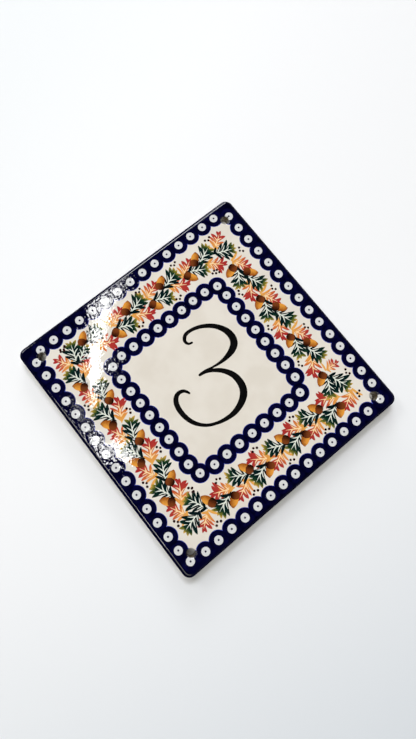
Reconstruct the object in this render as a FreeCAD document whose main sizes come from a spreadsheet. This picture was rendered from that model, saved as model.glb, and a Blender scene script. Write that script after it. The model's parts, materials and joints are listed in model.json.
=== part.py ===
import FreeCAD, Part
import math
import os
import Sketcher

# House number plaque: one square tile of glazed stoneware that hangs by a corner, as a
# diamond. The frame is the tile's own: it lies on its back, +Z leaves the glazed face,
# +Y points at the corner above the numeral, and the origin is the middle of the back.
# The tile is pressed in one piece: a slab with rounded corners, a hollow back inside a
# ground foot, a hole in each corner whose mouth is softened by the glaze, and a
# bull-nosed arris all round the face.

SIZES = {
    "side": 160.0,                # from side to opposite side of the square
    "thickness": 9.0,             # from the foot to the glazed face
    "corner_radius": 4.6,         # the tile's four corners, seen from the front
    "face_arris": 2.0,            # bull nose between the face and the sides
    "foot_arris": 0.8,            # outer edge of the foot, sponged round
    "foot_width": 17.0,           # ground rim that rests on the wall
    "recess_depth": 1.4,          # hollow of the back inside the foot
    "recess_draft": 18.0,         # slope of the hollow's wall, in degrees
    "recess_corner_radius": 9.0,  # the hollow's four corners
    "recess_floor_fillet": 0.9,   # where the hollow's wall meets its floor
    "hole_diameter": 5.0,         # bore for a wall screw
    "hole_lip_radius": 0.75,      # glaze-softened mouth of each hole
    "hole_back_arris": 0.4,       # the same bore where it leaves the foot
    "hole_inset": 10.6,           # from each hole's middle to the two sides beside it
    "hang_angle": 45.0,           # turn of the square that makes it a diamond, in degrees
}
HOLE_COUNT = 4                    # one hole in each corner of a square
NODE = "plaque_tile"
TOUCH = 1e-4                      # how near, in mm, counts as lying on a level or a line

doc = FreeCAD.newDocument("number_plaque")


# The sheet of driving dimensions
sheet = doc.addObject("Spreadsheet::Sheet", "sizes")
for row, (alias, value) in enumerate(SIZES.items(), start=1):
    sheet.set("A%d" % row, alias)
    sheet.set("B%d" % row, str(value))
    sheet.setAlias("B%d" % row, alias)
doc.recompute()


def size(alias):
    """The value of one cell, as the sheet holds it."""
    return float(sheet.get(alias))


def origin_item(body, role):
    """One of the body's own base planes or axes."""
    return next(item for item in body.Origin.OriginFeatures if item.Role == role)


def rounded_square_sketch(body, name, half_expression, half_value, radius_alias):
    """A square about the origin with rounded corners, held by one distance on each side."""
    sketch = body.newObject("Sketcher::SketchObject", name)
    sketch.AttachmentSupport = [(origin_item(body, "XY_Plane"), "")]
    sketch.MapMode = "FlatFace"
    radius = size(radius_alias)
    straight = half_value - radius
    # Lines 0 to 3 are the bottom, right, top and left sides, each drawn anticlockwise;
    # arcs 4 to 7 are the corners that follow them.
    quarter_turns = [(1, 0), (0, 1), (-1, 0), (0, -1)]
    for cos, sin in quarter_turns:
        start = FreeCAD.Vector(-straight * cos + half_value * sin, -straight * sin - half_value * cos)
        end = FreeCAD.Vector(straight * cos + half_value * sin, straight * sin - half_value * cos)
        sketch.addGeometry(Part.LineSegment(start, end), False)
    for turn, (cos, sin) in enumerate(quarter_turns):
        centre = FreeCAD.Vector(straight * cos + straight * sin, straight * sin - straight * cos)
        circle = Part.Circle(centre, FreeCAD.Vector(0, 0, 1), radius)
        first_angle = (turn - 1) * math.pi / 2
        sketch.addGeometry(Part.ArcOfCircle(circle, first_angle, first_angle + math.pi / 2), False)
    for side in range(4):
        arc = side + 4
        following = (side + 1) % 4
        sketch.addConstraint(Sketcher.Constraint("Tangent", side, 2, arc, 1))
        sketch.addConstraint(Sketcher.Constraint("Tangent", arc, 2, following, 1))
    for line in (0, 2):
        sketch.addConstraint(Sketcher.Constraint("Horizontal", line))
    for line in (1, 3):
        sketch.addConstraint(Sketcher.Constraint("Vertical", line))
    for arc in (4, 5, 6):
        sketch.addConstraint(Sketcher.Constraint("Equal", arc, arc + 1))
    # Each distance runs from the lower value to the higher: origin to right and top,
    # left and bottom to origin.
    held = [
        ("half_right", "DistanceX", (-1, 1, 1, 1, half_value), half_expression),
        ("half_top", "DistanceY", (-1, 1, 2, 1, half_value), half_expression),
        ("half_left", "DistanceX", (3, 1, -1, 1, half_value), half_expression),
        ("half_bottom", "DistanceY", (0, 1, -1, 1, half_value), half_expression),
        ("corner", "Radius", (4, radius), "sizes." + radius_alias),
    ]
    hold(sketch, held)
    return sketch


def hold(sketch, held):
    """Named dimensions of a sketch, each bound to the sheet."""
    for held_name, kind, arguments, expression in held:
        index = sketch.addConstraint(Sketcher.Constraint(kind, *arguments))
        sketch.renameConstraint(index, held_name)
        sketch.setExpression("Constraints." + held_name, expression)
    if sketch.solve() != 0:
        raise RuntimeError("the sketch %s doesn't solve" % sketch.Name)


def edges_where(feature, wanted):
    """Names of the feature's edges for which wanted(edge) is true."""
    doc.recompute()
    names = []
    for number, edge in enumerate(feature.Shape.Edges, start=1):
        if wanted(edge):
            names.append("Edge%d" % number)
    if not names:
        raise RuntimeError("no edge found on " + feature.Name)
    return names


def lies_at(edge, level):
    """True for an edge that lies wholly in the plane z = level."""
    box = edge.BoundBox
    return abs(box.ZMin - level) < TOUCH and abs(box.ZMax - level) < TOUCH


def is_bore_edge(edge):
    """True for a full circle of the bore's own radius."""
    curve = edge.Curve
    return isinstance(curve, Part.Circle) and abs(curve.Radius - size("hole_diameter") / 2) < TOUCH


def round_edges(body, base, name, alias, wanted):
    """A fillet of the sheet's radius on every edge of base that wanted() picks."""
    fillet = body.newObject("PartDesign::Fillet", name)
    fillet.Base = (base, edges_where(base, wanted))
    fillet.setExpression("Radius", "sizes." + alias)
    doc.recompute()
    return fillet


def make_tile():
    """The whole plaque, feature by feature, in the order that it is formed."""
    body = doc.addObject("PartDesign::Body", NODE)
    body.Label = NODE

    outline = rounded_square_sketch(
        body, "outline", "sizes.side / 2", size("side") / 2, "corner_radius"
    )
    slab = body.newObject("PartDesign::Pad", "slab")
    slab.Profile = outline
    slab.setExpression("Length", "sizes.thickness")
    doc.recompute()

    # The back is hollowed inside the foot, with drafted walls that let the clay leave
    # the press.
    recess_outline = rounded_square_sketch(
        body,
        "recess_outline",
        "sizes.side / 2 - sizes.foot_width",
        size("side") / 2 - size("foot_width"),
        "recess_corner_radius",
    )
    recess = body.newObject("PartDesign::Pocket", "recess")
    recess.Profile = recess_outline
    recess.Reversed = True
    recess.setExpression("Length", "sizes.recess_depth")
    recess.setExpression("TaperAngle", "-sizes.recess_draft")
    doc.recompute()
    if recess.Shape.Volume >= slab.Shape.Volume:
        raise RuntimeError("the hollow of the back cuts nothing")

    def in_recess_floor(edge):
        return lies_at(edge, size("recess_depth"))

    recess_floor = round_edges(
        body, recess, "recess_floor", "recess_floor_fillet", in_recess_floor
    )

    # One hole is bored at the corner where both coordinates are positive and repeated
    # round the middle of the tile.
    centre = size("side") / 2 - size("hole_inset")
    hole_sketch = body.newObject("Sketcher::SketchObject", "hole_outline")
    hole_sketch.AttachmentSupport = [(origin_item(body, "XY_Plane"), "")]
    hole_sketch.MapMode = "FlatFace"
    circle = Part.Circle(
        FreeCAD.Vector(centre, centre, 0), FreeCAD.Vector(0, 0, 1), size("hole_diameter") / 2
    )
    hole_sketch.addGeometry(circle, False)
    held = [
        ("hole_across", "DistanceX", (-1, 1, 0, 3, centre), "sizes.side / 2 - sizes.hole_inset"),
        ("hole_up", "DistanceY", (-1, 1, 0, 3, centre), "sizes.side / 2 - sizes.hole_inset"),
        ("hole_width", "Diameter", (0, size("hole_diameter")), "sizes.hole_diameter"),
    ]
    hold(hole_sketch, held)
    bore = body.newObject("PartDesign::Pocket", "bore")
    bore.Profile = hole_sketch
    bore.Reversed = True
    bore.Type = "ThroughAll"
    doc.recompute()
    if bore.Shape.Volume >= recess_floor.Shape.Volume:
        raise RuntimeError("the bore cuts nothing")
    holes = body.newObject("PartDesign::PolarPattern", "holes")
    holes.Originals = [bore]
    holes.Axis = (origin_item(body, "Z_Axis"), [""])
    holes.Angle = 360.0
    holes.Occurrences = HOLE_COUNT
    body.Tip = holes
    doc.recompute()
    one_hole = recess_floor.Shape.Volume - bore.Shape.Volume
    all_holes = recess_floor.Shape.Volume - holes.Shape.Volume
    if abs(all_holes - HOLE_COUNT * one_hole) > one_hole * TOUCH:
        raise RuntimeError("the pattern of holes isn't complete")

    # The glaze rounds the mouth of each hole and the whole rim of the face.
    def hole_mouth(edge):
        return is_bore_edge(edge) and lies_at(edge, size("thickness"))

    mouths = round_edges(body, holes, "hole_mouths", "hole_lip_radius", hole_mouth)

    def hole_exit(edge):
        return is_bore_edge(edge) and lies_at(edge, 0.0)

    exits = round_edges(body, mouths, "hole_exits", "hole_back_arris", hole_exit)

    def on_outline(edge):
        box = edge.BoundBox
        reach = max(abs(box.XMin), abs(box.XMax), abs(box.YMin), abs(box.YMax))
        return abs(reach - size("side") / 2) < TOUCH

    def face_rim(edge):
        return lies_at(edge, size("thickness")) and on_outline(edge)

    bull_nose = round_edges(body, exits, "bull_nose", "face_arris", face_rim)

    def foot_rim(edge):
        return lies_at(edge, 0.0) and on_outline(edge)

    foot = round_edges(body, bull_nose, "foot", "foot_arris", foot_rim)
    body.Tip = foot

    # The square is turned to hang by a corner.
    body.Placement.Rotation = FreeCAD.Rotation(FreeCAD.Vector(0, 0, 1), size("hang_angle"))
    body.setExpression("Placement.Rotation.Angle", "sizes.hang_angle")
    doc.recompute()
    return body


def check_document():
    """Stop if any object failed without saying so."""
    for item in doc.Objects:
        if "Invalid" in item.State or "Error" in item.State:
            raise RuntimeError("%s didn't build: %s" % (item.Name, item.State))


def check_solid(body):
    """Stop unless the sub-part is one valid solid of a sensible volume."""
    shape = body.Shape
    if shape.isNull() or not shape.isValid():
        raise RuntimeError("%s has no valid shape" % body.Label)
    if len(shape.Solids) != 1:
        raise RuntimeError("%s isn't one solid" % body.Label)
    slab_volume = size("side") ** 2 * size("thickness")
    if not 0 < shape.Volume < slab_volume:
        raise RuntimeError("%s has volume %.0f" % (body.Label, shape.Volume))


tile = make_tile()
check_document()
check_solid(tile)

os.makedirs("parts", exist_ok=True)
tile.Shape.exportStep("parts/%s.step" % tile.Label)

box = tile.Shape.optimalBoundingBox()
hole_ring = 2 * 2 ** 0.5 * (size("side") / 2 - size("hole_inset"))
print("%s: %.2f x %.2f x %.2f mm" % (tile.Label, box.XLength, box.YLength, box.ZLength))
print("lowest point %.3f mm, volume %.1f cm3" % (box.ZMin, tile.Shape.Volume / 1000))
print("circle through the hole middles: %.2f mm" % hole_ring)
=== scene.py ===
# %% [markdown]
# # A glazed stoneware house number plaque
# The real object is one pressed tile of stoneware. It hangs by a corner, as a diamond.
# Its decoration is painted and stamped on the raw clay with sponge stamps and a brush,
# and one clear glaze runs over everything. So the model is one closed shell too: the
# decoration is an inlay in its face, and each paint is a material under the same glaze.

# %% Load the frame
import json
import math
import random
from collections import Counter, namedtuple
from functools import cache

import bpy
import numpy as np
from mathutils import Matrix, Vector
from mathutils.geometry import delaunay_2d_cdt

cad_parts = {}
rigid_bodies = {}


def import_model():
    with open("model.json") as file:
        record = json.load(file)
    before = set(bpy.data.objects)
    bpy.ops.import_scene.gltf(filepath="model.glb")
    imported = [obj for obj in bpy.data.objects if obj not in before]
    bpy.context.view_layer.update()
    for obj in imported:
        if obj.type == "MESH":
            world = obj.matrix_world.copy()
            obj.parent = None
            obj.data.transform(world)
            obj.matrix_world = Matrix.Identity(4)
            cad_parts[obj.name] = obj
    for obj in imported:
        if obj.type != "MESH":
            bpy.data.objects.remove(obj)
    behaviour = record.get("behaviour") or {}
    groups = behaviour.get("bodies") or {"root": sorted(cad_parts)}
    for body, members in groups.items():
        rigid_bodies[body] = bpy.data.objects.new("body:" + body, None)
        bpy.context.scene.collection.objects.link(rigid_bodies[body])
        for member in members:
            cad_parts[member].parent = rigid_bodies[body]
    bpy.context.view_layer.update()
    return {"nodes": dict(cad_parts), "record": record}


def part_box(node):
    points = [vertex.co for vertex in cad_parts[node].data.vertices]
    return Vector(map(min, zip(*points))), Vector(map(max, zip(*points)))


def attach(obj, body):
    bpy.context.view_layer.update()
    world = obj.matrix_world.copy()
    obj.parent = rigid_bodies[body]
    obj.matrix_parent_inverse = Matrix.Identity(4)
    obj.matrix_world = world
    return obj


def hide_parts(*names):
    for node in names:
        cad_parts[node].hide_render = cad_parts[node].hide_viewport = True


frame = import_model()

print("frame nodes:", list(frame["nodes"]))

# %% [markdown]
# ## Sizes
# The frame is in metres. The decoration is easier to think about in millimetres, so
# every size below is in millimetres and becomes metres only where a mesh is made.
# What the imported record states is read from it; the rest repeats the tile's radii.

# %% Sizes of the tile, in millimetres
MM = 0.001
TILE_LOW, TILE_HIGH = (Vector(corner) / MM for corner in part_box("plaque_tile"))
THICKNESS = TILE_HIGH.z - TILE_LOW.z
CORNER_RADIUS = 4.6
FACE_ARRIS = 2.0
FOOT_ARRIS = 0.8
FOOT_WIDTH = 17.0
RECESS_DEPTH = 1.4
RECESS_DRAFT = math.radians(18)
RECESS_CORNER_RADIUS = 9.0
RECESS_FILLET = 0.9
HOLE_LIP = 0.75
HOLE_BACK_ARRIS = 0.4
# The corner rounding shortens each half diagonal by (sqrt 2 - 1) of its radius.
SIDE = math.sqrt(2) * (TILE_HIGH.x + (math.sqrt(2) - 1) * CORNER_RADIUS)
HALF = SIDE / 2
screws = next(m for m in frame["record"]["mounts"] if m["name"] == "screw_holes")
HOLE_RADIUS = screws["dims"]["hole_r_mm"]
HOLE_REACH = screws["dims"]["pcd_mm"] / 2
HOLE_CENTRES = [(0, HOLE_REACH), (HOLE_REACH, 0), (0, -HOLE_REACH), (-HOLE_REACH, 0)]
print("side %.1f mm, thickness %.1f mm, holes %.1f mm from the middle"
      % (SIDE, THICKNESS, HOLE_REACH))

# %% [markdown]
# ## Four sides, one rule
# The border is the same on all four sides of the square. A place on it is given by the
# side's number, by how far along the side it is, clockwise from the side's middle, and
# by how far out from the tile's middle. Side 0 is the upper left one.


# %% Places on the border
def turned(x, y, degrees):
    """A point turned about the origin."""
    cos, sin = math.cos(math.radians(degrees)), math.sin(math.radians(degrees))
    return (x * cos - y * sin, x * sin + y * cos)


def side_turn(side):
    """Degrees that turn 'along +x, outwards +y' to the given side of the diamond."""
    return 45 - 90 * side


def on_side(side, along, out):
    """A point of the border, in the tile's own x and y."""
    return turned(along, out, side_turn(side))


print("middle of side 0:", [round(v, 1) for v in on_side(0, 0, HALF)])

# %% [markdown]
# ## Stamps
# A decorator owns a handful of stamps and prints each many times. A stamp here is a flat
# mesh whose faces are the shapes that it prints. Every face says which paint it holds,
# and every point says how far along and across its leaf or acorn it lies, so that a
# colour can run from one end to the other.
# The paints are listed in the order in which they lie over each other.

# %% Paints, from the lowest to the uppermost
PAINTS = [
    "cobalt_margin", "ground", "cobalt_fringe", "cobalt_ring", "cobalt_double", "ring_disc",
    "ring_dot", "autumn_leaf", "autumn_vein", "green_leaf", "green_vein", "acorn_nut",
    "acorn_cap", "berry", "numeral", "cobalt_rim", "hole_glaze", "back_glaze", "bare_clay",
]
LEVEL = {name: level for level, name in enumerate(PAINTS)}
Shape = namedtuple("Shape", "paint points along across")


def painted(paint, points, length=math.inf, half_width=math.inf):
    """A shape whose points know their share of its length and width, where it has them."""
    along = [x / length for x, y in points]
    across = [y / half_width for x, y in points]
    return Shape(paint, points, along, across)


def placed(shapes, x, y, degrees):
    """The same shapes, turned about the origin and then moved."""
    moved = []
    for shape in shapes:
        spots = [turned(*point, degrees) for point in shape.points]
        moved.append(shape._replace(points=[(x + px, y + py) for px, py in spots]))
    return moved


def circle(radius, corners, x=0.0, y=0.0):
    """A round outline as a polygon."""
    spots = [turned(radius, 0, 360 * i / corners) for i in range(corners)]
    return [(x + px, y + py) for px, py in spots]


print(len(PAINTS), "paints")

# %% [markdown]
# ### The ring stamp
# The border's motif is a cobalt ring with a pale eye and a dot. On the real tile it is
# one round sponge for the ring, and the eye is the clay left bare inside it. The ring
# bleeds a little where the pigment meets the cream, which is the narrow lighter fringe.

# %% The ring stamp
RING_RADIUS = 5.3
FRINGE = 0.32
EYE_RADIUS = 2.52
DOT_RADIUS = 0.62
RING = [
    painted("cobalt_fringe", circle(RING_RADIUS + FRINGE, 44)),
    painted("cobalt_ring", circle(RING_RADIUS, 44)),
    painted("ring_disc", circle(EYE_RADIUS, 30)),
    painted("ring_dot", circle(DOT_RADIUS, 8, 0.1, -0.05)),
]
print("ring stamp %.1f mm across" % (2 * RING_RADIUS))

# %% [markdown]
# ### The oak leaf
# An oak leaf is drawn the way a brush makes it: one short stroke for each lobe, thrown
# out from the rib, and the rib and its veins left in the colour of the clay. Each lobe
# is a petal shape; the veins are thin tapering strokes laid over them.


# %% A stroke that swells and tapers
def stroke(start, dx, dy, profile, half, bend=0.0):
    """Outline of a brush stroke from start, on the rib, that reaches dx, dy and is bowed."""
    length = math.hypot(dx, dy)
    nx, ny = -dy / length, dx / length
    left, right = [], []
    for i, share in enumerate(profile):
        t = i / (len(profile) - 1)
        bow = bend * 4 * t * (1 - t)
        x, y = start + dx * t + nx * bow, dy * t + ny * bow
        left.append((x + nx * half * share, y + ny * half * share))
        right.append((x - nx * half * share, y - ny * half * share))
    # The outline runs anticlockwise: up the right side and back down the left.
    return right + left[::-1]


# %% The kinds of leaf
PETAL = (0.70, 0.90, 1.0, 1.0, 0.92, 0.70, 0.18)
VEIN = (1.0, 0.95, 0.7, 0.2)
BODY = (0.7, 1.6, 2.4, 2.8, 2.6, 1.0)
# A vein's half width is in millimetres. The rest are shares of the leaf's length.
VEIN_HALF, BODY_HALF, CROWN_HALF = 0.34, 0.026, 0.066
RIB_START, VEIN_REACH, CROWN_START, BODY_END = 0.24, 0.55, 0.62, 0.84
# A lobe: its place on the rib, its side, angle, reach and half width, and if it has a vein.
LEAVES = {
    "oak": ("green_leaf", "green_vein", [
        (0.06, 1, 62, 0.30, 0.054, False), (0.12, -1, 56, 0.38, 0.062, False),
        (0.20, 1, 56, 0.46, 0.068, True), (0.28, -1, 52, 0.50, 0.076, True),
        (0.38, 1, 50, 0.52, 0.080, True), (0.46, -1, 44, 0.50, 0.080, True),
        (0.55, 1, 44, 0.46, 0.078, True), (0.66, -1, 40, 0.38, 0.066, False),
        (0.72, 1, 36, 0.34, 0.062, False),
    ]),
    "fan": ("autumn_leaf", "autumn_vein", [
        (0.03, 1, 84, 0.50, 0.056, False), (0.12, 1, 58, 0.52, 0.054, False),
        (0.28, 1, 56, 0.50, 0.060, True), (0.10, -1, 62, 0.30, 0.054, False),
        (0.24, -1, 48, 0.42, 0.062, True), (0.50, 1, 54, 0.42, 0.080, True),
        (0.52, -1, 46, 0.40, 0.080, True), (0.74, 1, 46, 0.26, 0.062, False),
    ]),
    "long": ("autumn_leaf", "autumn_vein", [
        (0.06, -1, 46, 0.38, 0.054, False), (0.10, 1, 50, 0.38, 0.054, False),
        (0.24, -1, 50, 0.42, 0.058, True), (0.30, 1, 50, 0.46, 0.062, True),
        (0.42, -1, 44, 0.52, 0.068, True), (0.58, 1, 58, 0.40, 0.076, True),
        (0.62, -1, 48, 0.38, 0.072, False), (0.74, 1, 32, 0.30, 0.064, False),
    ]),
}
print("lobes:", {kind: len(parts[2]) for kind, parts in LEAVES.items()})


# %% The leaf itself
def leaf(kind, length, seed, hand=1):
    """Lobes, then veins, of one leaf that grows along +x from the origin."""
    paint, vein_paint, lobes = LEAVES[kind]
    wobble = random.Random(seed)
    fields, veins = [], []

    def touch(*drawn):
        fields.append(painted(paint, stroke(*drawn), length, length / 2))

    def vein(start, dx, dy, bend=0.0):
        veins.append(painted(vein_paint, stroke(start, dx, dy, VEIN, VEIN_HALF, bend)))

    touch(0, BODY_END * length, 0, BODY, BODY_HALF * length)
    for share, side, angle, reach, plump, veined in lobes:
        turn = math.radians(angle + wobble.uniform(-5, 5))
        long = length * reach * wobble.uniform(0.93, 1.07)
        half = length * plump * wobble.uniform(0.92, 1.1)
        bend = -side * hand * long * wobble.uniform(0.03, 0.10)
        x, dx, dy = length * share, long * math.cos(turn), side * hand * long * math.sin(turn)
        touch(x, dx, dy, PETAL, half, bend)
        if veined:
            vein(x, VEIN_REACH * dx, VEIN_REACH * dy, bend / 2)
    touch(CROWN_START * length, (1 - CROWN_START) * length, 0, PETAL, CROWN_HALF * length)
    vein(RIB_START * length, (BODY_END - RIB_START) * length, 0)
    return fields + veins


print("one leaf has", len(leaf("oak", 13.0, 1)), "shapes")

# %% [markdown]
# ### The acorn
# A pointed nut in a cap that is wider than the nut. Both are single touches of colour;
# the light side and the dark rim come later, from where a point lies across the acorn.


# %% The acorn stamp
# Profiles as (share of the length, share of the half width).
NUT = [(0.34, 0.86), (0.48, 0.93), (0.62, 0.90), (0.76, 0.76), (0.88, 0.50), (0.96, 0.22)]
CAP = [(0.0, 0.40), (0.05, 0.76), (0.15, 0.98), (0.28, 1.05), (0.37, 0.98), (0.45, 0.62)]
NUT_END, CAP_END = 1.0, 0.49


def acorn(length, half_width):
    """An acorn along +x: its stem end at the origin, its point at x = length."""
    shapes = []
    for paint, profile, end in (("acorn_nut", NUT, NUT_END), ("acorn_cap", CAP, CAP_END)):
        top = [(length * t, half_width * w) for t, w in profile]
        outline = [(x, -y) for x, y in top] + [(length * end, 0.0)] + top[::-1]
        shapes.append(painted(paint, outline, length, half_width))
    return shapes


BERRIES = [
    painted("berry", circle(radius, 8, x, y))
    for x, y, radius in ((-1.7, 0.3, 0.8), (0.1, -0.7, 0.74), (1.6, 0.7, 0.78))
]
print("acorn drawn with", sum(len(s.points) for s in acorn(9.3, 2.1)), "points")

# %% [markdown]
# ### Two sprigs and some single stamps
# The garland is two sprigs printed in turn on each side of an unseen vine: one that
# grows outwards and one that grows inwards. Each has an acorn in its middle, a green
# leaf after it and an autumn leaf before it. Where two sides meet the decorator filled
# the corner with single leaves, and the berries were dabbed in last.

# %% The sprigs: +x runs along the vine and +y outwards
OUTWARD_SPRIG = (
    placed(leaf("fan", 14.2, 3), -14.2, -4.3, 26)
    + placed(leaf("oak", 15.4, 12), -1.4, -4.7, 21)
    + placed(acorn(9.4, 2.6), -3.5, -3.2, 42)
)
INWARD_SPRIG = (
    placed(leaf("long", 15.6, 8), -16.2, 4.8, -31)
    + placed(leaf("oak", 15.0, 5, -1), -0.8, 4.6, -27)
    + placed(acorn(9.4, 2.55), -2.8, 3.8, -54)
)
STAMPS = {
    "ring": RING, "outward": OUTWARD_SPRIG, "inward": INWARD_SPRIG, "berries": BERRIES,
    "fan": leaf("fan", 13.6, 6), "long": leaf("long", 15.2, 4), "acorn": acorn(9.7, 2.65),
    "green": leaf("oak", 15.2, 7), "young": leaf("oak", 12.8, 9, -1),
}
print({name: len(shapes) for name, shapes in STAMPS.items()}, "shapes")

# %% [markdown]
# ## Printing with Geometry Nodes
# Stamps repeat along a line, which is what Geometry Nodes do best: a line of points, a
# stamp instanced on each, and a little noise in place, turn and size, because a hand
# printed them. The tree is built once and used for every row of the border.
# A node tree is easier to read as arithmetic, so a small class lets its sockets be added
# and multiplied like numbers. The paints use the same class later.


# %% A socket that behaves like a number
def feed(node, inputs):
    """Sets a node's inputs, or links those whose value is a Wire."""
    for key, value in inputs.items():
        if isinstance(value, Wire):
            value.tree.links.new(value.socket, node.inputs[key])
        else:
            node.inputs[key].default_value = value


class Wire:
    """One output in a node tree."""

    def __init__(self, tree, socket):
        self.tree, self.socket = tree, socket

    def node(self, kind, inputs, output=0, stops=(), **settings):
        """Any node of the tree: first its settings and a ramp's stops, then its sockets."""
        made = self.tree.nodes.new(kind)
        for key, value in settings.items():
            setattr(made, key, value)
        for share, colour in stops[1:-1]:
            made.color_ramp.elements.new(share).color = colour
        for end in (0, -1) if stops else ():
            element = made.color_ramp.elements[end]
            element.position, element.color = stops[end]
        feed(made, inputs)
        return Wire(self.tree, made.outputs[output])

    def math(self, operation, first, second):
        return self.node("ShaderNodeMath", {0: first, 1: second}, operation=operation)

    def __add__(self, other):
        return self.math("ADD", self, other)

    def __sub__(self, other):
        return self.math("SUBTRACT", self, other)

    def __rsub__(self, other):
        return self.math("SUBTRACT", other, self)

    def __mul__(self, other):
        return self.math("MULTIPLY", self, other)

    __radd__, __rmul__ = __add__, __mul__

    def between(self, low, high):
        """0 where the value is low, 1 where it is high, and a soft step in between."""
        return self.node("ShaderNodeMapRange", {"Value": self, "From Min": low, "From Max": high},
                         interpolation_type="SMOOTHSTEP")

    def colours(self, first, second):
        """The first colour where the value is 0 and the second where it is 1."""
        return self.node("ShaderNodeMix", {0: self, 6: first, 7: second}, 2,
                         data_type="RGBA", clamp_factor=True)

    def noise(self, size, detail=2.0):
        """Noise whose lumps are about the given number of millimetres wide."""
        return self.node("ShaderNodeTexNoise", {
            "Vector": self, "Scale": 1 / (size * MM), "Detail": detail,
        })


# %% A stamp as a mesh
def stamp_object(name, shapes):
    """A hidden flat mesh whose faces carry paint, along and across."""
    mesh = bpy.data.meshes.new(name)
    verts, faces = [], []
    for shape in shapes:
        first = len(verts)
        verts += [(x * MM, y * MM, 0.0) for x, y in shape.points]
        faces.append(range(first, len(verts)))
    mesh.from_pydata(verts, [], faces)
    paint = mesh.attributes.new("paint", "INT", "FACE")
    paint.data.foreach_set("value", [LEVEL[shape.paint] for shape in shapes])
    for field in ("along", "across"):
        values = [value for shape in shapes for value in getattr(shape, field)]
        mesh.attributes.new(field, "FLOAT", "POINT").data.foreach_set("value", values)
    return bpy.data.objects.new(name, mesh)


INKED = {name: stamp_object(name + "_stamp", shapes) for name, shapes in STAMPS.items()}
print("stamps:", ", ".join(INKED))

# %% The printing tree
TREE_INPUTS = {
    "Stamp": "Object", "Ink": "Material", "Start": "Vector", "End": "Vector", "Prints": "Int",
    "Turn": "Float", "Size": "Float", "Place wobble": "Float", "Turn wobble": "Float",
    "Size wobble": "Float", "Seed": "Int",
}


def printing_tree():
    """One stamp printed a number of times along a straight row."""
    tree = bpy.data.node_groups.new("print_a_row", "GeometryNodeTree")
    identifiers = {}
    for name, kind in TREE_INPUTS.items():
        socket = tree.interface.new_socket(name, in_out="INPUT", socket_type="NodeSocket" + kind)
        identifiers[name] = socket.identifier
    tree.interface.new_socket("Geometry", in_out="OUTPUT", socket_type="NodeSocketGeometry")
    group = tree.nodes.new("NodeGroupInput")
    given = {name: Wire(tree, group.outputs[name]) for name in TREE_INPUTS}
    make = given["Stamp"].node

    def wobble(name, seed_shift):
        """A random number between minus and plus the given amount, one for each print."""
        # Inputs 2 and 3 and output 1 are the ones for plain numbers.
        limits = {2: given[name] * -1, 3: given[name], "Seed": given["Seed"] + seed_shift}
        return make("FunctionNodeRandomValue", limits, 1, data_type="FLOAT")

    row = make("GeometryNodeMeshLine", {
        "Count": given["Prints"], "Start Location": given["Start"], "Offset": given["End"],
    }, mode="END_POINTS")
    shift = make("ShaderNodeCombineXYZ", {
        "X": wobble("Place wobble", 1), "Y": wobble("Place wobble", 2),
    })
    moved = make("GeometryNodeSetPosition", {"Geometry": row, "Offset": shift})
    turn = make("ShaderNodeCombineXYZ", {"Z": given["Turn"] + wobble("Turn wobble", 3)})
    stamp = make("GeometryNodeObjectInfo", {"Object": given["Stamp"]}, "Geometry")
    prints = make("GeometryNodeInstanceOnPoints", {
        "Points": moved, "Instance": stamp, "Rotation": turn,
        "Scale": given["Size"] + wobble("Size wobble", 4),
    })
    real = make("GeometryNodeRealizeInstances", {0: prints})
    inked = make("GeometryNodeSetMaterial", {"Geometry": real, "Material": given["Ink"]})
    feed(tree.nodes.new("NodeGroupOutput"), {0: inked})
    return tree, identifiers


PRINT_TREE, PRINT_INPUTS = printing_tree()
WET_INK = bpy.data.materials.new("wet_ink")
print("the printing tree has", len(PRINT_TREE.nodes), "nodes")

# %% Printing one row and reading back what it left
Hand = namedtuple("Hand", "place turn size")
STEADY_HAND = Hand(0.0, 0.0, 0.0)
RING_HAND, SPRIG_HAND = Hand(0.16, 180, 0.018), Hand(0.35, 4, 0.03)


def in_scene(name, data):
    """A new object, linked into the scene."""
    made = bpy.data.objects.new(name, data)
    bpy.context.scene.collection.objects.link(made)
    return made


def print_row(stamp, side, first, last, prints, seed, turn=0, size=1.0, hand=STEADY_HAND):
    """Shapes that a row of prints leaves on a side, as far off as the hand wobbles."""
    carrier = in_scene("row", bpy.data.meshes.new("row"))
    modifier = carrier.modifiers.new("print", "NODES")
    modifier.node_group = PRINT_TREE
    start, end = [(x * MM, y * MM, 0.0) for x, y in (on_side(side, *first), on_side(side, *last))]
    values = {
        "Stamp": INKED[stamp], "Ink": WET_INK, "Start": start, "End": end, "Prints": prints,
        "Turn": math.radians(side_turn(side) + turn), "Size": size, "Seed": seed,
        "Place wobble": hand.place * MM, "Turn wobble": math.radians(hand.turn),
        "Size wobble": hand.size,
    }
    for name, value in values.items():
        modifier[PRINT_INPUTS[name]] = value
    graph = bpy.context.evaluated_depsgraph_get()
    mesh = bpy.data.meshes.new_from_object(carrier.evaluated_get(graph))
    carrier.modifiers.remove(modifier)
    bpy.data.objects.remove(carrier)

    def read(collection, key, width):
        numbers = np.empty(len(mesh.vertices) * width)
        collection.foreach_get(key, numbers)
        return numbers

    places = read(mesh.vertices, "co", 3).reshape(-1, 3)[:, :2] / MM
    along = read(mesh.attributes["along"].data, "value", 1)
    across = read(mesh.attributes["across"].data, "value", 1)
    paints = mesh.attributes["paint"].data
    shapes = []
    for face in mesh.polygons:
        corners = list(face.vertices)
        paint = PAINTS[paints[face.index].value]
        points = [tuple(places[c]) for c in corners]
        shapes.append(Shape(paint, points, along[corners], across[corners]))
    bpy.data.meshes.remove(mesh)
    return shapes


# %% [markdown]
# ### The rows of the border
# The outer rings sit on the cobalt margin, the inner ones frame the panel. The decorator
# worked side by side, so each row has its own first and last ring, and the corner rings
# of the panel and of the lowest side are prints of their own.

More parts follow.
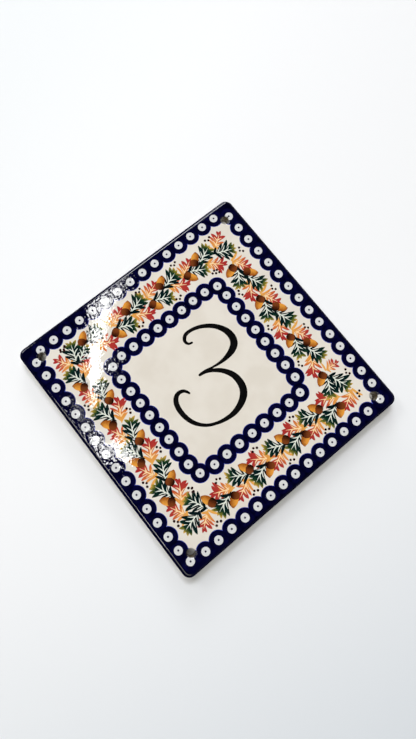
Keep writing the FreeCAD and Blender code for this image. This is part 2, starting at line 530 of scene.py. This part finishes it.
# %% Rows of rings: side, first and last place (along, out), number of prints
RING_ROWS = [
    (0, (-67.7, 73.0), (64.6, 74.5), 15), (1, (-69.8, 73.0), (63.1, 73.8), 15),
    (2, (-60.6, 73.8), (62.6, 73.7), 14), (3, (-64.0, 74.0), (68.4, 73.8), 15),
    (0, (-32.9, 41.2), (30.2, 41.1), 8), (1, (-31.6, 39.5), (31.8, 39.9), 8),
    (2, (-27.2, 41.0), (29.4, 40.8), 7), (3, (-31.4, 40.7), (30.2, 41.3), 8),
]
SINGLE_RINGS = [
    (0, -40.6, 39.2), (0, 38.7, 39.4), (2, -36.2, 40.5), (3, -39.3, 38.7),
    (2, -71.1, 72.9), (2, 72.4, 72.4),
]
printed = []
for side, first, last, prints in RING_ROWS:
    printed += print_row("ring", side, first, last, prints, 11 + side + prints, hand=RING_HAND)
for side, *place in SINGLE_RINGS:
    printed += print_row("ring", side, place, place, 1, 3, -side_turn(side))
print("rings printed:", sum(shape.paint == "ring_dot" for shape in printed))

# %% Rows of the garland: stamp, side, first and last place, number of prints
GARLAND = [
    ("outward", 0, (-12.9, 62.5), (38.4, 61.4), 3), ("inward", 0, (-25.4, 52.4), (29.6, 53.2), 3),
    ("outward", 1, (-33.4, 60.8), (22.0, 60.7), 3), ("inward", 1, (-15.6, 51.9), (42.6, 51.4), 3),
    ("outward", 2, (-48.3, 62.7), (33.2, 62.7), 4), ("inward", 2, (-37.0, 53.4), (16.5, 53.6), 3),
    ("outward", 3, (-39.7, 63.1), (41.6, 62.4), 4), ("inward", 3, (-31.1, 53.2), (26.1, 52.3), 3),
    ("berries", 0, (-28.2, 65.9), (52.8, 66.5), 4), ("berries", 0, (-12.1, 48.3), (43.2, 47.3), 3),
    ("berries", 1, (-48.6, 64.8), (12.7, 65.3), 3), ("berries", 1, (-27.2, 46.6), (28.2, 47.0), 3),
    ("berries", 2, (-33.9, 66.4), (48.0, 66.4), 4), ("berries", 2, (-22.1, 48.4), (33.2, 48.5), 3),
    ("berries", 3, (-52.1, 65.7), (29.4, 66.4), 4), ("berries", 3, (-42.9, 48.2), (13.7, 48.4), 3),
]
# Single prints: stamp, side, place along and out, turn in degrees, and size if it isn't 1
FILLERS = [
    ("fan", 0, 51.4, 58.0, 34), ("green", 0, 49.3, 56.8, -22),
    ("long", 0, 41.6, 55.7, -42, 0.95), ("acorn", 0, -47.7, 60.4, 44, 0.95),
    ("green", 0, -44.7, 59.0, 18, 0.95), ("acorn", 1, -43.3, 55.7, -69),
    ("young", 1, -41.5, 56.8, -35, 1.15), ("fan", 1, 40.2, 56.5, 86, 0.76),
    ("green", 1, 43.4, 56.2, 22), ("berries", 1, 48.8, 66.3, 0),
    ("berries", 1, 62.5, 63.2, -50), ("berries", 1, -46.5, 43.9, 30),
    ("fan", 2, 47.5, 57.4, 37, 0.95), ("green", 2, 51.5, 54.9, 14),
    ("long", 2, 28.2, 57.9, -24), ("green", 2, 47.5, 56.9, -64, 0.98),
    ("acorn", 2, 42.6, 58.2, -66), ("berries", 2, 47.9, 43.0, -80),
    ("fan", 3, 52.8, 57.9, 33), ("green", 3, 52.4, 56.0, -18),
    ("young", 3, 52.9, 55.5, -58), ("long", 3, 43.9, 57.0, -30, 0.95),
    ("berries", 3, 65.0, 57.4, -80), ("berries", 0, -57.1, 65.7, 0),
]
for number, row in enumerate(GARLAND):
    printed += print_row(*row, 40 + number, hand=SPRIG_HAND)
for stamp, side, along, out, *turn_and_size in FILLERS:
    place = (along, out)
    printed += print_row(stamp, side, place, place, 1, 7, *turn_and_size)
print("shapes printed in all:", len(printed))

# %% [markdown]
# ### The numeral
# The figure is written with a pointed brush: thin where it turns, broad where it comes
# down, and a small ball at each end. A pen stroke is a smooth line through a few places,
# each with its own half width, cut into short pieces that overlap in one black field.

# %% Places of the pen: x, y and half width, in millimetres
UPPER_BOWL = [
    (-12.1, 18.8, 0.66), (-14.2, 17.8, 0.77), (-16.5, 19.3, 1.05), (-16.5, 22.8, 1.15),
    (-13.7, 26.0, 1.05), (-8.9, 28.7, 1.19), (-3.1, 30.2, 1.37), (2.4, 30.1, 1.55),
    (7.8, 28.3, 1.98), (11.4, 25.1, 2.2), (12.8, 21.3, 2.26), (11.8, 16.9, 2.0),
    (8.6, 11.9, 1.34), (4.6, 8.0, 0.8), (0.8, 5.2, 0.66), (-2.6, 2.7, 0.95), (-5.5, 0.2, 0.8),
]
LOWER_BOWL = [
    (-5.5, 0.2, 0.8), (-1.7, 2.7, 0.95), (2.7, 4.0, 1.17), (8.1, 4.3, 1.47), (13.8, 2.8, 1.83),
    (18.1, -0.6, 2.12), (20.6, -4.7, 2.23), (21.1, -9.1, 2.2), (19.6, -14.5, 1.88),
    (16.4, -19.6, 1.54), (11.7, -23.7, 1.17), (6.6, -26.6, 0.95), (1.4, -28.2, 0.98),
    (-4.5, -28.0, 1.19), (-9.5, -26.1, 1.41), (-14.2, -22.4, 1.55), (-17.1, -18.3, 1.59),
    (-17.8, -14.3, 1.44), (-16.3, -11.4, 1.18), (-13.5, -10.2, 0.95), (-10.5, -11.0, 0.7),
]
PEN_CUTS = 4


def smooth_line(places, cuts):
    """Points between the places on a curve that passes through every one of them."""
    places = [np.array(place) for place in (places[0], *places, places[-1])]
    line = []
    for p0, p1, p2, p3 in zip(places, places[1:], places[2:], places[3:]):
        bow = p0 - 2.5 * p1 + 2 * p2 - 0.5 * p3
        twist = 1.5 * (p1 - p2) + 0.5 * (p3 - p0)
        for t in np.arange(cuts) / cuts:
            line.append(p1 + 0.5 * t * (p2 - p0) + t ** 2 * bow + t ** 3 * twist)
    return line + [places[-1]]


def pen_stroke(places):
    """A written stroke as a row of four-cornered fields, with a round touch at each end."""
    line = smooth_line(places, PEN_CUTS)
    banks = []
    for i, (x, y, half) in enumerate(line):
        dx, dy, _ = line[min(i + 1, len(line) - 1)] - line[max(i - 1, 0)]
        grow = half / math.hypot(dx, dy)
        banks.append(((x - dy * grow, y + dx * grow), (x + dy * grow, y - dx * grow)))
    fields = [painted("numeral", [right0, right1, left1, left0])
              for (left0, right0), (left1, right1) in zip(banks, banks[1:])]
    ends = [painted("numeral", circle(half, 14, x, y)) for x, y, half in (line[0], line[-1])]
    return fields + ends


printed += pen_stroke(UPPER_BOWL) + pen_stroke(LOWER_BOWL)
print("numeral written, shapes in all:", len(printed))

# %% [markdown]
# ## The inlay
# All shapes overlap. A constrained Delaunay triangulation cuts the whole face along
# every outline at once and says which shapes cover each triangle, so the uppermost
# paint can be given to it. Nothing floats above the glaze and nothing can flicker.


# %% Outlines of the tile at any depth
def rounded_square(half, radius, arc_steps, straight_steps=1):
    """A diamond-set square with rounded corners, anticlockwise."""
    straight = half - radius
    points = []
    for quarter in range(4):
        heading = 45 + 90 * quarter
        for step in range(arc_steps + 1):
            x, y = turned(radius, 0, 90 * step / arc_steps)
            points.append(turned(straight + x, straight + y, heading))
        for step in range(1, straight_steps):
            run = 2 * straight * step / straight_steps
            points.append(turned(straight - run, half, heading))
    return points


PANEL_HALF = 73.3
FACE_HALF = HALF - FACE_ARRIS
FACE_CORNER = CORNER_RADIUS - FACE_ARRIS
MOUTH_RADIUS = HOLE_RADIUS + HOLE_LIP
face_outline = rounded_square(FACE_HALF, FACE_CORNER, 8, 60)
print("face outline has", len(face_outline), "points")

# %% Cutting a flat region along every outline
CUT_TOLERANCE = 1e-5
GRID_STEP = 7.0


def cut_region(outline, holes=(), shapes=(), steiner=()):
    """Points, triangles with the shapes that cover each, and what each point came from."""
    verts, faces = [], []
    for points in [outline, *holes, *[shape.points for shape in shapes]]:
        faces.append(list(range(len(verts), len(verts) + len(points))))
        verts += [Vector(point) for point in points]
    verts += [Vector(point) for point in steiner]
    places, _, triangles, sources, _, cover = delaunay_2d_cdt(verts, [], faces, 0, CUT_TOLERANCE)
    first_shape = 1 + len(holes)
    kept = []
    for triangle, covering in zip(triangles, cover):
        if 0 not in covering or any(0 < face < first_shape for face in covering):
            continue
        above = [face - first_shape for face in covering if face >= first_shape]
        kept.append((list(triangle), above))
    return [(place.x, place.y) for place in places], kept, sources


layers = [painted("ground", rounded_square(PANEL_HALF, 1.0, 2))] + printed
mouths = [circle(MOUTH_RADIUS, 36, x, y) for x, y in HOLE_CENTRES]
reach = int(HALF // GRID_STEP)
grid = [
    on_side(0, column * GRID_STEP, row * GRID_STEP)
    for column in range(-reach, reach + 1) for row in range(-reach, reach + 1)
]
face_places, face_triangles, _ = cut_region(face_outline, mouths, layers, grid)
print("inlay: %d points, %d triangles" % (len(face_places), len(face_triangles)))


# %% The uppermost paint of each triangle
def top_paint(covering):
    """The shape that shows, and the name of the paint that it shows as."""
    if not covering:
        return None, "cobalt_margin"
    top = max(covering, key=lambda index: (LEVEL[layers[index].paint], index))
    paint = layers[top].paint
    rings = sum(layers[index].paint == "cobalt_ring" for index in covering)
    if paint == "cobalt_fringe" and 0 not in covering:
        return top, "cobalt_margin"
    if paint == "cobalt_ring" and rings > 1:
        return top, "cobalt_double"
    return top, paint


@cache
def field_map(index):
    """Matrix that gives along and across for any x and y of a shape."""
    shape = layers[index]
    points = np.array([(x, y, 1.0) for x, y in shape.points])
    values = np.array([shape.along, shape.across]).T
    return np.linalg.lstsq(points, values, rcond=None)[0]


# %% [markdown]
# ## The shell
# The face is only the top of a closed body. Its outer edge is carried over the bull
# nose, down the side and round the foot; the edge of each hole goes over its lip and
# down the bore; the foot and the hollow back close it. Each ring of points is made from
# the one before, so the body has no seam.

# %% A body that grows face by face
class Shell:
    """Points, faces, paints and corner values of one closed mesh, in millimetres."""

    def __init__(self):
        self.points, self.faces, self.paints, self.corners = [], [], [], []

    def add_points(self, points):
        """Adds points and returns their numbers."""
        first = len(self.points)
        self.points += points
        return list(range(first, len(self.points)))

    def add_face(self, numbers, paint, normals, fields=None):
        """Adds one face with a normal, and along and across, for every corner."""
        self.faces.append(numbers)
        self.paints.append(LEVEL[paint])
        fields = fields or [(0, 0)] * len(numbers)
        self.corners += [(*normal, *field) for normal, field in zip(normals, fields)]

    def sweep(self, loop, frames, steps, way, paint):
        """Carries a closed loop through steps; way is 1 facing outwards, -1 inwards."""
        def place(i, step):
            (x, y), (nx, ny) = frames[i]
            aside, up = way * math.sin(step.tilt), math.cos(step.tilt)
            return (x + nx * step.out, y + ny * step.out, step.level), (nx * aside, ny * aside, up)

        for above, below in zip(steps, steps[1:]):
            lower = self.add_points([place(i, below)[0] for i in range(len(loop))])
            for i in range(len(loop)):
                j = (i + 1) % len(loop)
                normals = [place(k, step)[1]
                           for k, step in ((i, above), (i, below), (j, below), (j, above))]
                numbers = [loop[i], lower[i], lower[j], loop[j]]
                self.add_face(numbers, paint(i, above, below), normals)
            loop = lower
        return loop


def edges(numbers):
    """The edges of a face, in its own direction."""
    return zip(numbers, numbers[1:] + numbers[:1])


def boundary_loops(triangles):
    """Closed loops of the edges that only one triangle uses, in their own direction."""
    used = {edge for numbers, _ in triangles for edge in edges(numbers)}
    following = {start: end for start, end in used if (end, start) not in used}
    loops = []
    while following:
        start, current = following.popitem()
        loop = [start]
        while current != start:
            loop.append(current)
            current = following.pop(current)
        loops.append(loop)
    return loops


# %% Face, painted
shell = Shell()
UP, DOWN = (0, 0, 1), (0, 0, -1)
face_numbers = shell.add_points([(x, y, THICKNESS) for x, y in face_places])
edge_paints = {}
for numbers, covering in face_triangles:
    top, paint = top_paint(covering)
    fields = None
    if top is not None and any(layers[top].along):
        fields = [tuple(np.array((*face_places[n], 1.0)) @ field_map(top)) for n in numbers]
    shell.add_face([face_numbers[n] for n in numbers], paint, [UP] * 3, fields)
    edge_paints.update((edge, paint) for edge in edges(numbers))
loops = sorted(boundary_loops(face_triangles), key=len)
print("loops of the face:", [len(loop) for loop in loops])


# %% Ways round an edge
def outward(x, y, straight):
    """The square's core beside a point of its edge, and the unit direction out of it."""
    a, b = turned(x, y, -45)
    core = [max(-straight, min(straight, v)) for v in (a, b)]
    length = math.dist((a, b), core)
    return turned(*core, 45), turned((a - core[0]) / length, (b - core[1]) / length, 45)


Step = namedtuple("Step", "out level tilt")


def rounded(out, level, radius, first, last, cuts, way=1):
    """Steps round an arc, hollow if its radius is negative; tilt is the normal's, from +Z."""
    steps = []
    for cut in range(cuts + 1):
        tilt = math.radians(first + (last - first) * cut / cuts)
        sin, cos = math.sin(tilt), math.cos(tilt)
        steps.append(Step(out + way * radius * sin, level + radius * cos, tilt))
    return steps


print("out of side 0:", [round(v, 2) for v in outward(*on_side(0, 0, HALF), 0)[1]])

# %% Bull nose, side and foot arris
GLAZE_LINE = 1.7
DULL_TILT = math.radians(26)
rim_loop = loops[-1]
rim_frames = [outward(*face_places[n], HALF - CORNER_RADIUS) for n in rim_loop]
rim_steps = (
    rounded(FACE_CORNER, THICKNESS - FACE_ARRIS, FACE_ARRIS, 0, 90, 10)
    + [Step(CORNER_RADIUS, GLAZE_LINE, math.pi / 2)]
    + rounded(CORNER_RADIUS - FOOT_ARRIS, FOOT_ARRIS, FOOT_ARRIS, 90, 180, 5)
)


def rim_paint(i, upper, lower):
    """Cobalt down to the glaze line, thin and dull where it is steep, then bare clay."""
    if lower.level < GLAZE_LINE - 1e-6:
        return "bare_clay"
    return "cobalt_rim" if upper.tilt > DULL_TILT else "cobalt_margin"


foot_rim = shell.sweep([face_numbers[n] for n in rim_loop], rim_frames, rim_steps, 1, rim_paint)
print("rim swept through", len(rim_steps), "steps")

# %% Hole lips and bores
bore_steps = (
    rounded(MOUTH_RADIUS, THICKNESS - HOLE_LIP, HOLE_LIP, 0, 90, 6, -1)
    + rounded(HOLE_RADIUS + HOLE_BACK_ARRIS, HOLE_BACK_ARRIS, HOLE_BACK_ARRIS, 90, 180, 3, -1)
)
bore_exits = []
for loop in loops[:-1]:
    middle = min(HOLE_CENTRES, key=lambda centre: math.dist(centre, face_places[loop[0]]))
    aims = [np.subtract(face_places[n], middle) for n in loop]
    bore_frames = [(middle, outward(*aim, 0)[1]) for aim in aims]

    def bore_paint(i, upper, lower):
        """The face's own paint over the lip, then thin glaze drawn dark as painted shade in the
        bore, then bare clay.
        """
        if lower.level > THICKNESS - HOLE_LIP - 0.01:
            return edge_paints[loop[i], loop[(i + 1) % len(loop)]]
        return "hole_glaze" if upper.tilt <= math.pi / 2 else "bare_clay"

    numbers = [face_numbers[n] for n in loop]
    bore_exits.append(shell.sweep(numbers, bore_frames, bore_steps, -1, bore_paint))
print("bores:", len(bore_exits))

# %% [markdown]
# The back isn't in sight when the plaque hangs. Such a tile stands in the kiln on a
# ground foot, and the middle is left hollow so that it can't rock on a wall.

# %% Foot
foot_parts = [foot_rim] + [loop[::-1] for loop in bore_exits]
outlines = [[shell.points[n][:2] for n in part] for part in foot_parts]
recess_mouth = rounded_square(HALF - FOOT_WIDTH, RECESS_CORNER_RADIUS, 10, 20)
foot_places, foot_triangles, sources = cut_region(outlines[0], outlines[1:] + [recess_mouth])
shared = [n for part in foot_parts for n in part]
foot_numbers = []
for (x, y), source in zip(foot_places, sources):
    if source and source[0] < len(shared):
        foot_numbers.append(shared[source[0]])
    else:
        foot_numbers += shell.add_points([(x, y, 0.0)])
for numbers, _ in foot_triangles:
    shell.add_face([foot_numbers[n] for n in reversed(numbers)], "bare_clay", [DOWN] * 3)
foot_loops = boundary_loops(foot_triangles)
mouth_loop = next(loop for loop in foot_loops if sources[loop[0]][0] >= len(shared))[::-1]
print("foot: %d triangles, loops of %s points"
      % (len(foot_triangles), [len(loop) for loop in foot_loops]))

# %% Hollow of the back
fillet_run = RECESS_FILLET * math.tan((math.pi / 2 - RECESS_DRAFT) / 2)
fillet_in = RECESS_DEPTH * math.tan(RECESS_DRAFT) + fillet_run
wall_tilt = 90 + math.degrees(RECESS_DRAFT)
recess_steps = [Step(RECESS_CORNER_RADIUS, 0.0, math.radians(wall_tilt))] + rounded(
    RECESS_CORNER_RADIUS - fillet_in, RECESS_DEPTH - RECESS_FILLET, -RECESS_FILLET,
    wall_tilt, 180, 5, -1,
)
recess_straight = HALF - FOOT_WIDTH - RECESS_CORNER_RADIUS
recess_frames = [outward(*foot_places[n], recess_straight) for n in mouth_loop]
floor_rim = shell.sweep(
    [foot_numbers[n] for n in mouth_loop], recess_frames, recess_steps, -1,
    lambda i, upper, lower: "back_glaze",
)
_, floor_triangles, sources = cut_region([shell.points[n][:2] for n in floor_rim])
for numbers, _ in floor_triangles:
    corners = [floor_rim[sources[n][0]] for n in reversed(numbers)]
    shell.add_face(corners, "back_glaze", [DOWN] * 3)
print("hollow: %d triangles on its floor" % len(floor_triangles))

# %% Is the body closed?
edge_uses = Counter(edge for numbers in shell.faces for edge in edges(numbers))
open_edges = sum((end, start) not in edge_uses for start, end in edge_uses)
double_edges = sum(uses > 1 for uses in edge_uses.values())
print("%d points, %d faces, %d open edges, %d doubled edges"
      % (len(shell.points), len(shell.faces), open_edges, double_edges))

# %% [markdown]
# ## Glaze and paint
# Every paint lies under the same clear glaze, so all materials share one glaze and
# differ in what is below it. The paint is uneven: a sponge leaves cobalt thinner in
# places, and a loaded brush fades along its stroke. The glaze has a faint orange peel
# and fine pinholes, too small to see, which break up the edges of a reflection.


# %% Colours
def seen(*levels):
    """A colour as it is read off a screen, 0 to 255, as scene values."""
    shares = [level / 255 for level in levels]
    return (*[s / 12.92 if s <= 0.04045 else ((s + 0.055) / 1.055) ** 2.4 for s in shares], 1.0)


print("cream glaze in scene values:", [round(v, 3) for v in seen(230, 223, 212)])

# %% One glaze for all paints
GLAZE_IOR = 1.5
# Sizes in millimetres, depths in metres; that of the pinholes is for a speckle of 1.
PINHOLE_SIZE, PINHOLE_DEPTH = 1.35, 0.8e-6
PEEL_SIZE, PEEL_DEPTH = 4.5, 5e-6


def new_material(name):
    """A material, its surface shader and its Object coordinates."""
    material = bpy.data.materials.new(name)
    material.use_nodes = True
    tree = material.node_tree
    start = Wire(tree, tree.nodes.new("ShaderNodeTexCoord").outputs["Object"])
    return material, tree.nodes["Principled BSDF"], start


def glazed(name, colour, speckle, roughness=0.02, shine=0.5):
    """A material: colour(start) gives the paint, and the rest is the glaze over it."""
    material, shader, start = new_material(name)
    pinholes, peel = start.noise(PINHOLE_SIZE, 0.0), start.noise(PEEL_SIZE, 1.0)
    fine = start.node("ShaderNodeBump", {"Height": pinholes, "Distance": speckle * PINHOLE_DEPTH})
    both = start.node("ShaderNodeBump", {"Height": peel, "Distance": PEEL_DEPTH, "Normal": fine})
    feed(shader, {
        "Base Color": colour(start), "Roughness": roughness, "IOR": GLAZE_IOR,
        "Specular IOR Level": shine, "Normal": both,
    })
    return material


def even(base, other, size):
    """A paint that drifts between two close colours, in patches of the given size."""
    return lambda start: start.noise(size).between(0.35, 0.7).colours(seen(*base), seen(*other))


def reading(start, name):
    """A number that the mesh carries at each corner."""
    return start.node("ShaderNodeAttribute", {}, 2, attribute_name=name)


# %% Leaves and acorns change colour along their length
def along_leaf(stops, mottle):
    """A paint that runs through stops of (share of the length, colour) along a leaf."""
    def colour(start):
        place = reading(start, "along") + (start.noise(1.3) - 0.5) * mottle
        return place.node(
            "ShaderNodeValToRGB", {0: place}, stops=[(share, seen(*rgb)) for share, rgb in stops])
    return colour


def acorn_paint(dark, light, tip):
    """Light along one side, dark at the other edge and towards the point."""
    def colour(start):
        side = (reading(start, "across") + (start.noise(1.0) - 0.5) * 0.8).between(-0.9, 0.7)
        body = side.colours(seen(*dark), seen(*light))
        end = (reading(start, "along") + (start.noise(0.8) - 0.5) * 0.3).between(0.75, 1.05)
        return end.colours(body, seen(*tip))
    return colour


GREEN = [(0.0, (4, 18, 22)), (0.66, (6, 30, 30)), (0.80, (20, 52, 32)), (0.90, (112, 110, 42)),
         (1.0, (204, 160, 72))]
AUTUMN = [(0.0, (224, 168, 84)), (0.34, (216, 138, 66)), (0.52, (196, 92, 52)),
          (0.64, (172, 56, 48)), (1.0, (158, 42, 44))]
print("stops:", len(GREEN), len(AUTUMN))

# %% The looks of all paints
# Paint, speckle, and where it differs also roughness and shine.
LOOKS = {
    "cobalt_margin": (even((1, 1, 20), (4, 4, 36), 6), 38),
    "ground": (even((224, 218, 207), (218, 211, 199), 14), 15),
    "cobalt_fringe": (even((32, 40, 128), (60, 74, 164), 2), 32),
    "cobalt_ring": (even((3, 3, 31), (7, 7, 50), 2.5), 38),
    "cobalt_double": (even((1, 1, 20), (3, 3, 33), 2.5), 38),
    "ring_disc": (even((213, 214, 213), (206, 207, 206), 2), 23),
    "ring_dot": (even((26, 20, 52), (44, 36, 66), 0.6), 12),
    "autumn_leaf": (along_leaf(AUTUMN, 0.25), 23),
    "autumn_vein": (even((240, 214, 170), (236, 200, 146), 1), 12),
    "green_leaf": (along_leaf(GREEN, 0.22), 28),
    "green_vein": (even((224, 226, 214), (206, 214, 200), 1), 12),
    "acorn_nut": (acorn_paint((150, 78, 26), (220, 150, 60), (128, 58, 22)), 14),
    "acorn_cap": (acorn_paint((40, 14, 6), (116, 58, 26), (56, 22, 10)), 14),
    "berry": (even((32, 14, 16), (56, 24, 20), 0.8), 14),
    "numeral": (even((9, 9, 9), (17, 16, 17), 4), 12),
    "cobalt_rim": (even((3, 3, 28), (6, 6, 44), 4), 10, 0.5, 0.0),
    # The bore is brownish clay under thin glaze, drawn darker as painted shade inside the hole.
    "hole_glaze": (even((134, 118, 88), (90, 76, 50), 1.5), 4, 0.12),
    "back_glaze": (even((224, 216, 200), (214, 204, 186), 9), 6, 0.25),
    "bare_clay": (even((216, 206, 188), (200, 188, 168), 1.2), 20, 0.75),
}
print("looks:", len(LOOKS))

# %% The tile as one mesh
mesh = bpy.data.meshes.new("glazed_tile")
mesh.from_pydata([(x * MM, y * MM, z * MM) for x, y, z in shell.points], [], shell.faces)
for name in PAINTS:
    mesh.materials.append(glazed(name, *LOOKS[name]))
mesh.polygons.foreach_set("material_index", shell.paints)
corner_values = np.array(shell.corners)
for column, name in ((3, "along"), (4, "across")):
    field = mesh.attributes.new(name, "FLOAT", "CORNER")
    field.data.foreach_set("value", corner_values[:, column])
mesh.normals_split_custom_set([tuple(row) for row in corner_values[:, :3]])
mesh.update()
tile = in_scene("glazed_tile", mesh)
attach(tile, "root")
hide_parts("plaque_tile")
print("tile: %d triangles" % sum(len(polygon.vertices) - 2 for polygon in mesh.polygons))

# %% [markdown]
# ## The table, the light and the camera
# The plaque lies on a white table. The room above it is dark, as a dark ceiling leaves
# the dark glaze dark, and the light comes in low from the walls and from lamps round
# the table. The lamps that the glaze mirrors are narrow, as a row of panes would be.
# A pale backdrop stands round the room, which is looked at but adds no light of its own.


# %% Table
def table_with_painted_shade(start):
    """White with painted shade: a touch cooler and darker towards the lower right, and darker near
    the lamps.
    """
    parts = start.node("ShaderNodeSeparateXYZ", {0: start})
    across, down = (Wire(parts.tree, parts.socket.node.outputs[axis]) for axis in "XY")
    # Painted shade: the table is drawn darker and cooler towards the lower right, and darker on
    # the side of the lamps.
    lower_right_painted_shade = (across * 0.5 - down).between(-0.02, 0.41)
    lamp_side_painted_shade = (down * 0.5 - across).between(0.10, 0.29)
    white = lower_right_painted_shade.colours(seen(237, 238, 239), seen(196, 203, 209))
    return lamp_side_painted_shade.colours(white, seen(229, 232, 233))


table_mesh = bpy.data.meshes.new("table")
table_mesh.from_pydata([(-3, -3, 0), (3, -3, 0), (3, 3, 0), (-3, 3, 0)], [], [(0, 1, 2, 3)])
white, white_shader, start = new_material("white_table")
feed(white_shader, {"Base Color": table_with_painted_shade(start), "Roughness": 0.6})
table_mesh.materials.append(white)
table = in_scene("table", table_mesh)
print("table laid")

# %% Room
ROOM_LIGHT = 0.16
BACKDROP = seen(236, 238, 240)
world = bpy.data.worlds.new("room")
bpy.context.scene.world = world
world.use_nodes = True
sky = Wire(world.node_tree, world.node_tree.nodes.new("ShaderNodeTexCoord").outputs["Generated"])
height = sky.node("ShaderNodeSeparateXYZ", {0: sky}, 2)
walls = height.between(0.80, 0.50).colours((0.0, 0.0, 0.0, 1.0), (ROOM_LIGHT,) * 3 + (1.0,))
rays = [sky.node("ShaderNodeLightPath", {}, kind + " Ray")
        for kind in ("Is Camera", "Is Glossy", "Is Transmission")]
looked_at = sum(rays) * height.between(0.60, 0.15)
background = world.node_tree.nodes["Background"]
feed(background, {"Color": looked_at.colours(walls, BACKDROP), "Strength": 1.0})
print("room light", ROOM_LIGHT)

# %% [markdown]
# Where a lamp has to stand to be mirrored at a given place of the face follows from the
# camera: the ray from the camera to that place goes on upwards as steeply as it came.

# %% Camera
CAMERA_PLACE = Vector((-30.70, -39.46, 328.63)) * MM
LOOKED_AT = Vector((-23.41, 26.28, 9.0)) * MM
CAMERA_ROLL = math.radians(6.596)


def stand(thing, place, back, right):
    """Puts a camera or lamp at a place, its back and its right side towards two ways."""
    back = back.normalized()
    right = (right - back * right.dot(back)).normalized()
    axes = Matrix((right, back.cross(right), back)).transposed()
    thing.matrix_world = Matrix.Translation(place) @ axes.to_4x4()


camera_data = bpy.data.cameras.new("camera")
camera_data.sensor_fit = "VERTICAL"
camera_data.sensor_height = 36
camera_data.lens = 26.732
camera_data.shift_x = 0.0454
camera_data.shift_y = -0.0561
camera = in_scene("camera", camera_data)
camera_back = CAMERA_PLACE - LOOKED_AT
level_right = Vector((0, 1, 0)).cross(camera_back)
roll = Matrix.Rotation(CAMERA_ROLL, 3, camera_back)
stand(camera, CAMERA_PLACE, camera_back, roll @ level_right)
bpy.context.scene.camera = camera
print("camera %.0f mm above the table" % (CAMERA_PLACE.z / MM))


# %% Lamps
def lamp(name, place, size, radiance, colour=(1, 1, 1), aim=(0, 0, THICKNESS), turn=0):
    """A flat lamp that faces a point; its radiance is the brightness it is seen with."""
    data = bpy.data.lights.new(name, "AREA")
    data.shape = "RECTANGLE"
    data.size, data.size_y = size[0] * MM, size[1] * MM
    data.energy = radiance * math.pi * data.size * data.size_y
    data.color = colour
    place = Vector(place)
    stand(in_scene(name, data), place * MM, place - Vector(aim), Vector((*turned(1, 0, turn), 0)))


# %% Panes that the glaze mirrors
PANE_HEIGHT = 1200.0
# Place on the face, width and height there, radiance, turn in degrees
PANES = [
    (-59.2, 48.9, 4.2, 9.0, 12, -30), (-62.9, 40.4, 4.2, 13.0, 22, -20),
    (-66.3, 27.6, 5.6, 17.0, 26, -10), (-67.7, 11.7, 6.8, 18.0, 26, -1),
    (-66.7, -3.9, 5.6, 16.0, 26, 8), (-65.1, -17.6, 3.8, 13.0, 16, 6),
    (-46.3, -45.6, 10.0, 5.0, 20, -14), (-42.9, -50.5, 9.0, 5.0, 20, -24),
    (-57.6, -46.6, 5.0, 16.0, 26, 42), (-70.2, -31.2, 2.0, 20.0, 9, 42),
    (-67.8, 35.3, 6.5, 13.0, 26, -42), (-57.5, -1.0, 2.0, 4.0, 12, 0),
]


def pane(name, x, y, width, height, radiance, turn):
    """A lamp that the glaze mirrors at the face point x, y, at about the given size."""
    eye = CAMERA_PLACE / MM
    reach_up = PANE_HEIGHT / (eye.z - THICKNESS)
    place = (x + (x - eye.x) * reach_up, y + (y - eye.y) * reach_up, THICKNESS + PANE_HEIGHT)
    size = (width * (1 + reach_up), height * (1 + reach_up))
    straight_down = (place[0], place[1], 0.0)
    lamp(name, place, size, radiance, aim=straight_down, turn=turn)


for number, sizes in enumerate(PANES):
    pane("pane_%d" % number, *sizes)
print("panes:", len(PANES))

# %% Lamps that light the tile
# Daylight is a touch bluer than the light that the room gives back.
SKYLIGHT, ROOM_GLOW, WHITE = (0.93, 0.95, 1.0), (1.0, 0.965, 0.88), (1, 1, 1)
# Heading and steepness in degrees, distance, size, share of the light, colour
SOFTBOXES = {
    "window": (105, 57, 8000, (3200, 1040), 0.33, SKYLIGHT),
    "key": (102, 20, 8000, (3400, 2200), 0.13, SKYLIGHT),
    "near_fill": (268, 64, 5600, (2200, 1600), 0.13, ROOM_GLOW),
    "left_fill": (150, 37, 5600, (1400, 1600), 0.14, WHITE),
    "left_strip": (225, 71, 5600, (1960, 500), 0.21, ROOM_GLOW),
    "far_strip": (116, 52, 8000, (2400, 700), 0.09, SKYLIGHT),
}


def softbox(name, heading, steepness, distance, size, share, colour):
    """A lamp that gives the face its share of the light."""
    climb = math.radians(steepness)
    place = (*turned(distance * math.cos(climb), 0, heading), distance * math.sin(climb))
    radiance = share * math.pi * distance ** 2 / (size[0] * size[1] * math.sin(climb))
    lamp(name, place, size, radiance, colour, turn=heading + 90)
    print("%s is seen at brightness %.1f" % (name, radiance))


for name, sizes in SOFTBOXES.items():
    softbox(name, *sizes)
print("lamps:", sum(o.type == "LIGHT" for o in bpy.data.objects))

# %% View settings
bpy.context.scene.view_settings.view_transform = "Standard"
